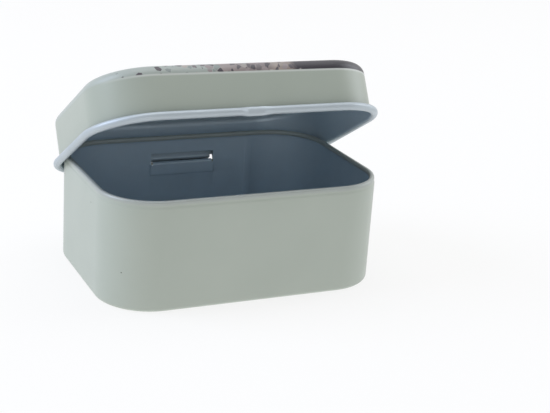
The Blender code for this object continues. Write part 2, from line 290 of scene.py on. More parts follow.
@dataclass(frozen=True)
class Enamel:
    """Stoved enamel, roller-coated on tinplate: satin, with faint orange peel and rare pin specks.

    The coat is even in colour, so what the eye gets is a soft broad gloss, a slow waver of the thin
    sheet under it, slight clouding, and here and there a dark speck of dirt baked into the coat.
    """

    name: str
    colour: str
    cloud_colour: str
    roughness: float = 0.36
    smoother: float = 0.05
    rougher: float = 0.07
    cloud_size: float = 22.0 * MM
    cloud_share: float = 0.55
    peel_size: float = 0.5 * MM
    peel_depth: float = 0.010 * MM
    waver_size: float = 26.0 * MM
    waver_depth: float = 0.30 * MM
    speck_spacing: float = 9.0 * MM
    speck_least: float = 0.010
    speck_spread: float = 0.040
    speck_share: float = 0.36
    speck_colour: str = "#5B6158"
    printed: Optional[PrintedTop] = None
    margin: Optional[BareMargin] = None

    def material(self, to_own: Optional[Matrix] = None) -> Material:
        """Build the enamel.

        Args:
            to_own: The matrix from the piece's place to the shut lid's own frame, for a printed
                piece.

        Returns:
            The material.
        """
        material, add, shader = new_material(self.name)
        place = add("ShaderNodeTexCoord").outputs["Object"]
        if to_own is not None:
            place = add("ShaderNodeMapping", Vector=place, Location=to_own.to_translation(),
                        Rotation=to_own.to_euler()).outputs[0]
        clouds = add("ShaderNodeTexNoise", Vector=place, Scale=1 / self.cloud_size, Detail=3.0)
        clouding = add("ShaderNodeMath", {"operation": "MULTIPLY"}, i0=clouds, i1=self.cloud_share)
        coat = add("ShaderNodeMix", {"data_type": "RGBA"}, i0=clouding, i6=linear(self.colour),
                   i7=linear(self.cloud_colour))

        grid = add("ShaderNodeTexVoronoi", Vector=place, Scale=1 / self.speck_spacing)
        chance = add("ShaderNodeSeparateColor", Color=grid.outputs["Color"])
        size = add("ShaderNodeMath", {"operation": "MULTIPLY_ADD"}, i0=chance.outputs["Blue"],
                   i1=self.speck_spread, i2=self.speck_least)
        near = add("ShaderNodeMath", {"operation": "LESS_THAN"}, i0=grid.outputs["Distance"],
                   i1=size)
        picked = add("ShaderNodeMath", {"operation": "LESS_THAN"}, i0=chance.outputs["Green"],
                     i1=self.speck_share)
        speck = add("ShaderNodeMath", {"operation": "MULTIPLY"}, i0=near, i1=picked)
        colour = add("ShaderNodeMix", {"data_type": "RGBA"}, i0=speck, i6=coat.outputs[2],
                     i7=linear(self.speck_colour)).outputs[2]
        if self.printed is not None:
            colour = self.printed.colour(add, place, colour)
        if self.margin is not None:
            bare = self.margin.share(add, place)
            colour = add("ShaderNodeMix", {"data_type": "RGBA"}, i0=bare, i6=colour,
                         i7=linear(self.margin.colour)).outputs[2]
            metal = add("ShaderNodeMath", {"operation": "MULTIPLY"}, i0=bare,
                        i1=self.margin.metallic)
            feed(shader, Metallic=metal)

        dulled = add("ShaderNodeMapRange", Value=clouds, i3=self.roughness - self.smoother,
                     i4=self.roughness + self.rougher)
        peel = add("ShaderNodeTexNoise", Vector=place, Scale=1 / self.peel_size, Detail=1.0)
        waver = add("ShaderNodeTexNoise", Vector=place, Scale=1 / self.waver_size, Detail=0.0)
        slow = add("ShaderNodeBump", Height=waver, Distance=self.waver_depth)
        fine = add("ShaderNodeBump", Height=peel, Distance=self.peel_depth, Normal=slow)
        feed(shader, Base_Color=colour, Roughness=dulled, Normal=fine)
        return material


@dataclass(frozen=True)
class StovedLacquer:
    """Slate-blue can lacquer, stoved on tinplate: half paint, half metal, with a soft gloss.

    Its aluminium flake gives a satin metal look. The rolling grain of the sheet shows through it
    faintly.
    """

    name: str
    colour: str = "#C3D2DD"
    dull_colour: str = "#B6C6D1"
    metallic: float = 0.30
    roughness: float = 0.40
    smoother: float = 0.07
    rougher: float = 0.09
    grain_pitch: float = 0.22 * MM
    grain_length: float = 9.0 * MM
    grain_depth: float = 0.004 * MM
    grain_share: float = 0.5
    cloud_size: float = 12.0 * MM
    smooth_below: float = 0.5
    rough_above: float = 1.1

    def material(self) -> Material:
        """Build the lacquer.

        Returns:
            The material.
        """
        material, add, shader = new_material(self.name)
        place = add("ShaderNodeTexCoord").outputs["Object"]
        stretched = add("ShaderNodeMapping", Vector=place,
                        Scale=(1 / self.grain_length, 1 / self.grain_pitch, 1 / self.grain_pitch))
        grain = add("ShaderNodeTexNoise", Vector=stretched, Scale=1.0, Detail=2.0)
        clouds = add("ShaderNodeTexNoise", Vector=place, Scale=1 / self.cloud_size, Detail=4.0)
        tone = add("ShaderNodeMix", {"data_type": "RGBA"}, i0=clouds, i6=linear(self.colour),
                   i7=linear(self.dull_colour))
        blend = add("ShaderNodeMath", {"operation": "MULTIPLY_ADD"}, i0=grain, i1=self.grain_share,
                    i2=clouds)
        gloss = add("ShaderNodeMapRange", Value=blend, i1=self.smooth_below, i2=self.rough_above,
                    i3=self.roughness - self.smoother, i4=self.roughness + self.rougher)
        bump = add("ShaderNodeBump", Height=grain, Distance=self.grain_depth)
        feed(shader, Base_Color=tone.outputs[2], Roughness=gloss, Normal=bump,
             Metallic=self.metallic)
        return material


@dataclass(frozen=True)
class BareSteel:
    """Low-carbon steel, sheared or drawn: a grey metal with fine drag lines."""

    name: str
    colour: str
    roughness: float
    smoother: float = 0.08
    rougher: float = 0.10
    line_pitch: float = 0.12 * MM
    line_length: float = 4.0 * MM
    line_depth: float = 0.003 * MM

    def material(self) -> Material:
        """Build the bare steel.

        Returns:
            The material.
        """
        material, add, shader = new_material(self.name)
        place = add("ShaderNodeTexCoord").outputs["Object"]
        stretched = add("ShaderNodeMapping", Vector=place,
                        Scale=(1 / self.line_length, 1 / self.line_pitch, 1 / self.line_pitch))
        lines = add("ShaderNodeTexNoise", Vector=stretched, Scale=1.0, Detail=1.0)
        gloss = add("ShaderNodeMapRange", Value=lines, i3=self.roughness - self.smoother,
                    i4=self.roughness + self.rougher)
        bump = add("ShaderNodeBump", Height=lines, Distance=self.line_depth)
        feed(shader, Base_Color=linear(self.colour), Metallic=1.0, Roughness=gloss, Normal=bump)
        return material


# Bench work


def deselect_all() -> None:
    """Leave nothing selected, so that an operator acts only on what is chosen next."""
    for chosen in bpy.context.selected_objects:
        chosen.select_set(False)


def within(value: float, low: float, high: float) -> bool:
    """Whether a coordinate lies between two lines or on one."""
    return low - WELD < value < high + WELD


def ease(share: float) -> float:
    """A soft ramp from nought to one, level at both ends."""
    share = min(max(share, 0.0), 1.0)
    return share * share * (3.0 - 2.0 * share)


def ramp_stops(start: float, width: float, rows: int = SOFT_ROWS) -> list[float]:
    """Evenly spaced lines across a ramp, both ends included."""
    return [start + width * row / rows for row in range(rows + 1)]


@dataclass(frozen=True)
class Run:
    """The plan of a sheet's middle surface: a rounded rectangle, whose right half is drawn."""

    half_length: float
    front: float
    rear: float
    radius: float
    corner_rows: int = 24

    @property
    def flat_end(self) -> float:
        """Where the straight runs end and the corners start, along X."""
        return self.half_length - self.radius

    def beyond(self, at: Vector) -> float:
        """Measure how far outside the plan's line a point lies.

        Args:
            at: The point.

        Returns:
            The distance, below nought on the inner side.
        """
        across = abs(at.x) - self.flat_end
        along = (abs(at.y - (self.front + self.rear) / 2) - (self.rear - self.front) / 2
                 + self.radius)
        outside = math.hypot(max(across, 0.0), max(along, 0.0))
        return outside + min(max(across, along), 0.0) - self.radius


class Sheet:
    """A sheet in edit mode: a section drawn at the middle of the front, then carried round."""

    def __init__(self, name: str, run: Run, offset: float, height: float) -> None:
        """Start a sheet at one point of its section.

        Args:
            name: The finished piece's name.
            run: The sheet's plan.
            offset: How far outside the plan's line the point lies.
            height: The point's height.
        """
        deselect_all()
        bpy.ops.mesh.primitive_plane_add(size=MM, location=(0.0, 0.0, 0.0))
        self.shape = bpy.context.active_object
        self.shape.name = self.shape.data.name = name
        self.run = run
        bpy.ops.object.mode_set(mode="EDIT")
        bpy.ops.mesh.select_mode(type="VERT")
        bpy.ops.mesh.select_all(action="SELECT")
        bpy.ops.mesh.merge(type="CENTER")
        self.stand_at(run.front, -1.0, offset, height)
        bpy.ops.transform.translate(value=(0.0, run.front - offset, height))

    def stand_at(self, line: float, out: float, offset: float, height: float) -> None:
        """Take up a section at a point, from the plan's line on Y, with outwards as 1.0 or -1.0."""
        self.line, self.out, self.offset, self.height = line, out, offset, height

    def push(self, x: float, y: float, z: float) -> None:
        """Extrude what is selected by a step along each axis."""
        bpy.ops.mesh.extrude_region_move(TRANSFORM_OT_translate={"value": (x, y, z)})

    def turn(self, centre: Sequence[float], axis: Sequence[float], degrees: float,
             rows: int) -> None:
        """Spin what is selected, right-handed about an axis, where the tool turns left-handed."""
        bpy.ops.mesh.spin(steps=rows, angle=math.radians(degrees), center=centre,
                          axis=-Vector(axis))

    def straight(self, offset: float, height: float, rows: int = 1) -> None:
        """Draw the section on to a point in a straight line.

        Args:
            offset: How far outside the plan's line the point lies.
            height: The point's height.
            rows: The number of equal steps.
        """
        for _ in range(rows):
            self.push(0.0, self.out * (offset - self.offset) / rows, (height - self.height) / rows)
        self.offset, self.height = offset, height

    def bend(self, offset: float, height: float, degrees: float, rows: int) -> None:
        """Draw the section on along an arc.

        Args:
            offset: How far outside the plan's line the arc's centre lies.
            height: The centre's height.
            degrees: The turn, from outwards towards up.
            rows: The number of steps.
        """
        self.turn((0.0, self.line + self.out * offset, height), (self.out, 0.0, 0.0), degrees, rows)
        cosine, sine = math.cos(math.radians(degrees)), math.sin(math.radians(degrees))
        reach, rise = self.offset - offset, self.height - height
        self.offset = offset + reach * cosine - rise * sine
        self.height = height + reach * sine + rise * cosine

    def carry(self, front_stops: Sequence[float] = (), rear_stops: Sequence[float] = ()) -> None:
        """Carry the drawn section round the right half of the plan, to the middle of the rear.

        Args:
            front_stops: Places along the front run that need a row of their own.
            rear_stops: The same along the rear run.
        """
        bpy.ops.mesh.select_all(action="SELECT")
        run, at = self.run, 0.0
        for stop in [*sorted(front_stops), run.flat_end]:
            self.push(stop - at, 0.0, 0.0)
            at = stop
        self.turn((run.flat_end, run.front + run.radius, 0.0), UP, 90.0, run.corner_rows)
        self.push(0.0, run.rear - run.front - 2 * run.radius, 0.0)
        self.turn((run.flat_end, run.rear - run.radius, 0.0), UP, 90.0, run.corner_rows)
        for stop in [*sorted(rear_stops, reverse=True), 0.0]:
            self.push(stop - at, 0.0, 0.0)
            at = stop

    def pick(self, place: Place, border: bool = False) -> None:
        """Select the faces in a place, or the edges there at which the sheet ends.

        Args:
            place: The rule that every corner of a face or an edge meets.
            border: Whether to select edges.
        """
        bpy.ops.mesh.select_mode(type="EDGE" if border else "FACE")
        bpy.ops.mesh.select_all(action="DESELECT")
        mesh = bmesh.from_edit_mesh(self.shape.data)
        for part in [edge for edge in mesh.edges if edge.is_boundary] if border else mesh.faces:
            if all(place(corner.co) for corner in part.verts):
                part.select_set(True)
        mesh.select_flush_mode()
        bmesh.update_edit_mesh(self.shape.data)

    def press(self, place: Place, share: Callable[[Vector], float],
              move: Callable[[float], None]) -> None:
        """Move part of the sheet, each group of vertices by its own share.

        Args:
            place: The rule for the vertices that take part.
            share: How much of the move a vertex takes.
            move: What moves the selected vertices by a share.
        """
        mesh = bmesh.from_edit_mesh(self.shape.data)
        shares = {vert.index: round(share(vert.co), SHARE_DIGITS) for vert in mesh.verts
                  if place(vert.co)}
        bpy.ops.mesh.select_mode(type="VERT")
        for level in sorted(set(shares.values()) - {0.0}):
            bpy.ops.mesh.select_all(action="DESELECT")
            mesh = bmesh.from_edit_mesh(self.shape.data)
            for vert in mesh.verts:
                if shares.get(vert.index) == level:
                    vert.select_set(True)
            bmesh.update_edit_mesh(self.shape.data)
            move(level)

    def cut_out(self, place: Place) -> None:
        """Delete the faces whose corners all lie in a place."""
        self.pick(place)
        bpy.ops.mesh.delete(type="FACE")

    def apply(self, modifier: Modifier) -> None:
        """Apply a modifier to the sheet, and go back to edit mode.

        Args:
            modifier: The modifier.
        """
        bpy.ops.object.mode_set(mode="OBJECT")
        bpy.ops.object.modifier_apply(modifier=modifier.name)
        bpy.ops.object.mode_set(mode="EDIT")

    def make_left_half(self) -> None:
        """Mirror the right half across the middle, and weld the halves."""
        mirror = self.shape.modifiers.new("Left half", "MIRROR")
        mirror.use_clip = True
        mirror.merge_threshold = WELD
        self.apply(mirror)

    def close_middle(self, place: Place, crown: float = 0.0, width: float = 3.0 * MM,
                     rings: int = 3) -> None:
        """Fill the sheet's inner edge with a face and some rings round it.

        Args:
            place: The rule for the inner edge.
            crown: How much higher each ring lies than the one round it.
            width: The width of each ring.
            rings: The number of rings.
        """
        self.pick(place, border=True)
        bpy.ops.mesh.edge_face_add()
        bpy.ops.mesh.select_mode(type="FACE")
        for _ in range(rings):
            bpy.ops.mesh.inset(thickness=width)
            bpy.ops.transform.translate(value=(0.0, 0.0, crown))

    def finish(self, middle: Vector) -> Object:
        """Weld the sheet, turn its outside outwards, and give it its thickness.

        Args:
            middle: A point on the inner side of the sheet.

        Returns:
            The piece.
        """
        bpy.ops.mesh.select_mode(type="VERT")
        bpy.ops.mesh.select_all(action="SELECT")
        bpy.ops.mesh.remove_doubles(threshold=WELD)
        bpy.ops.mesh.normals_make_consistent(inside=False)
        mesh = bmesh.from_edit_mesh(self.shape.data)
        outward = sum((face.calc_center_median() - middle).dot(face.normal) * face.calc_area()
                      for face in mesh.faces)
        if outward < 0:
            bpy.ops.mesh.flip_normals()
        solid = self.shape.modifiers.new("Sheet thickness", "SOLIDIFY")
        solid.thickness = GAUGE
        solid.offset = 0.0
        solid.use_even_offset = True
        solid.material_offset = Side.INSIDE
        solid.material_offset_rim = Side.CUT_EDGE
        while len(self.shape.data.materials) < len(Side):
            self.shape.data.materials.append(None)
        self.apply(solid)
        bpy.ops.object.mode_set(mode="OBJECT")
        return self.shape


def dress(shape: Object, materials: Materials, body: str, node: str) -> None:
    """Give a piece its materials and its place in the frame, where it stands for a CAD node.

    Args:
        shape: The finished piece.
        materials: One for each of its slots.
        body: The CAD body that it moves with.
        node: The CAD node that it replaces.
    """
    while len(shape.data.materials) < len(materials):
        shape.data.materials.append(None)
    for number, material in enumerate(materials):
        shape.data.materials[number] = material
    deselect_all()
    shape.select_set(True)
    bpy.context.view_layer.objects.active = shape
    bpy.ops.object.transform_apply(location=True, rotation=True, scale=True)
    bpy.ops.object.shade_smooth_by_angle(angle=SMOOTH_BELOW)
    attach(shape, body)
    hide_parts(node)
    log.info("%s: %d faces, on body %s", shape.name, len(shape.data.polygons), body)


# The tin


@dataclass(frozen=True)
class Footprint:
    """Where the body's outer faces stand, read from the frame."""

    half_length: float
    front: float
    rear: float
    height: float
    corner_radius: float = 18.5 * MM

    @classmethod
    def from_frame(cls) -> "Footprint":
        """Read the faces off the CAD boxes.

        Returns:
            The footprint. The wall's box holds the hook at the rear, so the rear face is taken as
            far from the bottom panel as the front face is.
        """
        low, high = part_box("body_wall")
        panel_low, panel_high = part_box("bottom_panel")
        return cls(high.x, low.y, panel_high.y + panel_low.y - low.y, high.z)


@dataclass(frozen=True)
class Hinge:
    """The hinge: its axis, read from the frame, and the stack of radii from the wire outwards."""

    y: float
    z: float
    shut: float
    open: float
    pin_radius: float = 0.85 * MM
    seat_gap: float = 0.45 * MM
    running_gap: float = 0.30 * MM
    pocket_gap: float = 0.35 * MM
    tab_half_length: float = 12.0 * MM
    tab_notch: float = 0.9 * MM
    tab_bend: float = 0.9 * MM
    hook_inset: float = 0.2 * MM
    hook_bend: float = 0.8 * MM
    hook_rise: float = 1.25 * MM
    hook_turn: float = 120.0

    @classmethod
    def from_frame(cls) -> "Hinge":
        """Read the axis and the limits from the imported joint."""
        joint = frame["joints"][0]
        return cls(*joint["pos_m"][1:], *joint["range_deg"])

    @property
    def hook_half_length(self) -> float:
        """Half the length of the hook."""
        return self.tab_half_length - self.hook_inset

    @property
    def notch_end(self) -> float:
        """Where the notches beside the tab end, along X."""
        return self.tab_half_length + self.tab_notch

    @property
    def hook_radius(self) -> float:
        """Radius of the hook's middle surface."""
        return self.pin_radius + self.seat_gap + HALF

    @property
    def roll_radius(self) -> float:
        """Radius of the rolled tab's middle surface."""
        return self.hook_radius + self.running_gap + GAUGE

    @property
    def pocket_reach(self) -> float:
        """Distance from the axis to the pocket's middle surface."""
        return self.roll_radius + self.pocket_gap + HALF

    @property
    def hook_fall(self) -> float:
        """Find how the hook falls from its bend to where it touches the round over the wire.

        Returns:
            The slope in degrees.
        """
        across = self.pocket_reach - self.hook_bend
        lean = math.asin((self.hook_radius - self.hook_bend) / math.hypot(across, self.hook_rise))
        return math.degrees(math.atan2(self.hook_rise, across) - lean)

    @property
    def roll_turn(self) -> float:
        """Find how far the tab is rolled on from its top, to stop on the hook when open.

        Returns:
            The turn in degrees.
        """
        under_hook = (self.hook_radius - HALF) / (self.roll_radius + HALF)
        end_room = math.degrees(self.seat_gap / self.roll_radius)
        wall_side = 270.0
        return wall_side + math.degrees(math.asin(under_hook)) - end_room - (self.open - self.shut)

    def opened(self) -> Matrix:
        """Find the move that takes the shut lid to where it stands at rest.

        Returns:
            The turn about the hinge's axis.
        """
        axis = Vector((0.0, self.y, self.z))
        turn = Matrix.Rotation(math.radians(self.shut), 4, "X")
        return Matrix.Translation(axis) @ turn @ Matrix.Translation(-axis)


@dataclass(frozen=True)
class BodyWall:
    """The wall: turned in at the foot, rolled in at the rim, with the hinge seat and side seam."""

    foot: Footprint
    hinge: Hinge
    base_radius: float = 1.5 * MM
    lip_width: float = 3.2 * MM
    neck_inset: float = 0.20 * MM
    neck_drop: float = 2.7 * MM
    neck_slope: float = 1.0 * MM
    rim_radius: float = 0.90 * MM
    rim_turn: float = 255.0
    slot_height: float = 3.95 * MM
    pocket_end_slope: float = 0.7 * MM
    pocket_foot_slope: float = 0.6 * MM
    pocket_top_slope: float = 1.2 * MM
    seam_middle: float = 27.0 * MM
    seam_width: float = 3.0 * MM
    seam_rise: float = 0.22 * MM
    seam_ramp: float = 0.35 * MM

    @property
    def run(self) -> Run:
        """The wall's plan, along the middle of the sheet."""
        foot = self.foot
        return Run(foot.half_length - HALF, foot.front + HALF, foot.rear - HALF,
                   foot.corner_radius - HALF)

    @property
    def pocket_depth(self) -> float:
        """How far the hinge pocket is pressed in."""
        return self.hinge.pocket_reach - (self.hinge.y - self.run.rear) - HALF

    @property
    def pocket_half_length(self) -> float:
        """Half the length of the pocket's floor."""
        return self.hinge.tab_half_length + self.hinge.pocket_gap

    @property
    def floor_low(self) -> float:
        """Height of the lower edge of the pocket's floor."""
        return self.hinge.z - self.hinge.pocket_reach

    @property
    def floor_top(self) -> float:
        """Height where the pocket's floor bends into the hook."""
        return self.hinge.z + self.hinge.hook_rise

    @property
    def slot_top(self) -> float:
        """Height of the slot's upper edge."""
        return self.hinge.z + self.hinge.hook_radius + HALF + self.slot_height

    def build(self) -> Object:
        """Model the wall.

        Returns:
            The piece.
        """
        sheet = Sheet("Body_wall", self.run, HALF - self.base_radius - self.lip_width, HALF)
        self.draw_section(sheet)
        seam_edge = self.seam_middle - self.seam_width / 2
        seam_end = self.seam_middle + self.seam_width / 2 - self.seam_ramp
        sheet.carry(rear_stops=[self.hinge.hook_half_length,
                                *ramp_stops(self.pocket_half_length, self.pocket_end_slope),
                                *ramp_stops(seam_edge, self.seam_ramp, rows=3),
                                *ramp_stops(seam_end, self.seam_ramp, rows=3)])
        self.make_hinge_seat(sheet)
        sheet.make_left_half()
        self.press_seam(sheet)
        return sheet.finish(Vector((0.0, 0.0, self.foot.height / 2)))

    def draw_section(self, sheet: Sheet) -> None:
        """Draw the wall's section from the lip under the bottom panel to the end of the rim's roll.

        Args:
            sheet: The sheet, started at the lip's inner edge.
        """
        bend = self.base_radius - HALF
        sheet.straight(-bend, HALF, rows=2)
        sheet.bend(-bend, self.base_radius, 90.0, rows=8)
        sheet.straight(0.0, self.floor_low - self.pocket_foot_slope, rows=3)
        sheet.straight(0.0, self.floor_low, rows=5)
        sheet.straight(0.0, self.floor_top, rows=2)
        sheet.straight(0.0, self.floor_top + self.pocket_top_slope, rows=5)
        sheet.straight(0.0, self.slot_top)
        neck = self.foot.height - self.neck_drop
        sheet.straight(0.0, neck)
        for part in SOFT_STEPS:
            sheet.straight(-self.neck_inset * ease(part), neck + self.neck_slope * part)
        sheet.straight(-self.neck_inset, self.foot.height - self.rim_radius)
        sheet.bend(-self.neck_inset - self.rim_radius + HALF, sheet.height, self.rim_turn,
                   rows=20)

    def make_hinge_seat(self, sheet: Sheet) -> None:
        """Cut the slot, press the pocket and bend the hook out over the wire.

        Args:
            sheet: The wall's right half.
        """
        rear, depth, hinge = self.run.rear, self.pocket_depth, self.hinge
        sheet.cut_out(lambda at: within(at.y, rear - depth, rear)
                      and within(at.x, 0.0, self.pocket_half_length)
                      and within(at.z, self.floor_top, self.slot_top))
        sheet.press(lambda at: within(at.y, rear, rear) and at.z < self.slot_top - WELD,
                    self.pocket_share,
                    lambda part: bpy.ops.transform.translate(value=(0.0, -depth * part, 0.0)))
        sheet.pick(lambda at: within(at.y, rear - depth, rear - depth)
                   and within(at.z, self.floor_top, self.floor_top)
                   and within(at.x, 0.0, hinge.hook_half_length), border=True)
        sheet.stand_at(rear, 1.0, -depth, self.floor_top)
        fall = math.radians(hinge.hook_fall)
        sheet.bend(-depth + hinge.hook_bend, self.floor_top, -90.0 - hinge.hook_fall, rows=9)
        sheet.straight(hinge.y - rear + hinge.hook_radius * math.sin(fall),
                       hinge.z + hinge.hook_radius * math.cos(fall), rows=2)
        sheet.bend(hinge.y - rear, hinge.z, hinge.hook_fall - hinge.hook_turn, rows=14)

    def pocket_share(self, at: Vector) -> float:
        """Find how far the pocket is pressed in at a point of the rear wall.

        Args:
            at: The point.

        Returns:
            The share of the pocket's depth.
        """
        end = 1.0 - ease((at.x - self.pocket_half_length) / self.pocket_end_slope)
        foot = ease((at.z - self.floor_low) / self.pocket_foot_slope + 1.0)
        top = 1.0 - ease((at.z - self.floor_top) / self.pocket_top_slope)
        return end * foot * top

    def seam_share(self, at: Vector) -> float:
        """How much of its rise the side seam has at a point."""
        return ease((self.seam_width / 2 - abs(at.x - self.seam_middle)) / self.seam_ramp)

    def press_seam(self, sheet: Sheet) -> None:
        """Press the side seam, a folded band that stands in from the wall beside the hinge.

        Args:
            sheet: The whole wall.
        """
        rear = self.run.rear
        sheet.press(lambda at: within(at.y, rear, rear)
                    and self.base_radius < at.z < self.slot_top + WELD, self.seam_share,
                    lambda part: bpy.ops.transform.translate(
                        value=(0.0, -self.seam_rise * part, 0.0)))


@dataclass(frozen=True)
class BottomPanel:
    """The base: a pressed panel on the wall's turned-in lip, with an edge that stands up."""

    wall: BodyWall
    seat_gap: float = 0.30 * MM
    seat_width: float = 4.0 * MM
    ramp_width: float = 1.2 * MM
    rise: float = 1.2 * MM
    ramp_corners: tuple[tuple[float, float], ...] = ((0.3, 0.2), (0.7, 0.8), (1.0, 1.0))
    flange_top: float = 3.4 * MM

    def build(self) -> Object:
        """Model the panel.

        Returns:
            The piece.
        """
        flange = -(GAUGE + self.seat_gap)
        bend = self.wall.base_radius - HALF + flange
        seat_height = GAUGE + self.seat_gap + HALF
        inner = flange - bend - self.seat_width - self.ramp_width
        high = seat_height + self.rise

        sheet = Sheet("Bottom_panel", self.wall.run, inner, high)
        for across, down in self.ramp_corners:
            sheet.straight(inner + self.ramp_width * across, high - self.rise * down)
        sheet.straight(flange - bend, seat_height)
        sheet.bend(flange - bend, seat_height + bend, 90.0, rows=6)
        sheet.straight(flange, self.flange_top)
        sheet.carry()
        sheet.make_left_half()
        sheet.close_middle(lambda at: within(at.z, high, high))
        return sheet.finish(Vector((0.0, 0.0, self.wall.foot.height)))


@dataclass(frozen=True)
class Lid:
    """The lid: a sunk top, a rounded shoulder, a deep skirt, a rolled bead and the hinge tab."""

    foot: Footprint
    hinge: Hinge
    side_clearance: float = 0.45 * MM
    front_clearance: float = 0.90 * MM
    rear_clearance: float = 0.35 * MM
    skirt_height: float = 13.9 * MM
    shoulder_radius: float = 3.6 * MM
    border_width: float = 5.6 * MM
    ramp_width: float = 2.0 * MM
    sink: float = 0.7 * MM
    crown: float = 0.02 * MM
    bead_radius: float = 1.35 * MM
    bead_turn: float = 290.0
    dent_depth: float = 0.9 * MM
    dent_flat: float = 4.6 * MM
    dent_ramp: float = 3.6 * MM
    dent_spread: float = 0.20

    @property
    def run(self) -> Run:
        """The skirt's plan, along the middle of the sheet."""
        foot = self.foot
        return Run(foot.half_length + self.side_clearance + HALF,
                   foot.front - self.front_clearance - HALF,
                   foot.rear + self.rear_clearance + HALF,
                   foot.corner_radius + self.side_clearance + HALF)

    @property
    def top(self) -> float:
        """Height of the top's middle surface on the shut lid."""
        return self.hinge.z + self.skirt_height + self.shoulder_radius - HALF

    @property
    def tab_start(self) -> float:
        """Height where the hinge tab bends out of the skirt on the shut lid."""
        return self.hinge.z + self.hinge.roll_radius + self.hinge.tab_bend

    def build(self) -> Object:
        """Model the lid shut, and open it to its angle at rest.

        Returns:
            The piece.
        """
        hinge, ramp_foot = self.hinge, self.top - self.sink
        sheet = Sheet("Lid", self.run, HALF - self.border_width - self.ramp_width, ramp_foot)
        self.draw_section(sheet)
        sheet.carry(front_stops=ramp_stops(self.dent_flat / 2, self.dent_ramp, rows=9),
                    rear_stops=[hinge.tab_half_length, hinge.notch_end])
        self.roll_tab(sheet)
        self.press_dent(sheet)
        sheet.make_left_half()
        sheet.close_middle(lambda at: within(at.z, ramp_foot, ramp_foot), self.crown)
        shape = sheet.finish(Vector((0.0, 0.0, hinge.z)))
        # Inside faces that lie out beyond the skirt, on the bead and the rolled tab, take the
        # fourth slot, whose lacquer is a painted lit copy of the inside's.
        for face in shape.data.polygons:
            if face.material_index == Side.INSIDE and self.run.beyond(face.center) > HALF + WELD:
                face.material_index = Side.CURLED
        shape.matrix_world = hinge.opened()
        return shape

    def draw_section(self, sheet: Sheet) -> None:
        """Draw the lid's section from the sunk panel's edge to the end of the bead.

        Args:
            sheet: The sheet, started at the panel's edge.
        """
        inner, low = sheet.offset, sheet.height
        for part in SOFT_STEPS:
            sheet.straight(inner + self.ramp_width * part, low + self.sink * ease(part))
        shoulder = self.shoulder_radius - HALF
        sheet.straight(-shoulder, self.top, rows=2)
        sheet.bend(-shoulder, self.top - shoulder, -90.0, rows=14)
        sheet.straight(0.0, self.tab_start, rows=2)
        sheet.straight(0.0, self.hinge.z)
        sheet.bend(self.bead_radius - HALF, self.hinge.z, self.bead_turn, rows=28)

    def roll_tab(self, sheet: Sheet) -> None:
        """Notch the bead at the hinge, and roll the tab out of the skirt and over the hook.

        Args:
            sheet: The lid's right half.
        """
        hinge, rear = self.hinge, self.run.rear
        sheet.cut_out(lambda at: at.y > rear - WELD and at.x < hinge.notch_end + WELD
                      and at.z < self.tab_start + WELD)
        sheet.pick(lambda at: within(at.y, rear, rear)
                   and within(at.z, self.tab_start, self.tab_start)
                   and within(at.x, 0.0, hinge.tab_half_length), border=True)
        sheet.stand_at(rear, 1.0, 0.0, self.tab_start)
        sheet.bend(hinge.tab_bend, self.tab_start, 90.0, rows=8)
        sheet.straight(hinge.y - rear, hinge.z + hinge.roll_radius)
        sheet.bend(hinge.y - rear, hinge.z, -hinge.roll_turn, rows=22)

    def press_dent(self, sheet: Sheet) -> None:
        """Flatten the bead at the middle of the front, where a thumb lifts the lid.

        Args:
            sheet: The lid's right half.
        """
        front, most = self.run.front, self.dent_depth / (2 * self.bead_radius)
        sheet.press(lambda at: at.y < front - WELD,
                    lambda at: 1.0 - ease((at.x - self.dent_flat / 2) / self.dent_ramp),
                    lambda part: bpy.ops.transform.resize(
                        value=(1.0, 1.0 - most * part, 1.0 + self.dent_spread * part),
                        center_override=(0.0, front, self.hinge.z)))


@dataclass(frozen=True)
class HingePin:
    """The steel wire in the rolled tab, with its cut ends tumbled round."""

    hinge: Hinge
    end_inset: float = 0.7 * MM
    end_bevel: float = 0.2 * MM
    bevel_rows: int = 4
    sides: int = 48

    def build(self) -> Object:
        """Model the wire.

        Returns:
            The piece.
        """
        deselect_all()
        bpy.ops.mesh.primitive_cylinder_add(
            vertices=self.sides, radius=self.hinge.pin_radius,
            depth=2 * (self.hinge.tab_half_length - self.end_inset),
            location=(0.0, self.hinge.y, self.hinge.z), rotation=(0.0, math.pi / 2, 0.0))
        shape = bpy.context.active_object
        shape.name = shape.data.name = "Hinge_wire"
        bpy.ops.object.mode_set(mode="EDIT")
        bpy.ops.mesh.select_mode(type="FACE")
        bpy.ops.mesh.select_all(action="DESELECT")
        mesh = bmesh.from_edit_mesh(shape.data)
        for face in mesh.faces:
            face.select_set(len(face.verts) == self.sides)
        bmesh.update_edit_mesh(shape.data)
        bpy.ops.mesh.bevel(offset=self.end_bevel, segments=self.bevel_rows, affect="EDGES")
        bpy.ops.object.mode_set(mode="OBJECT")
        return shape


# The stage


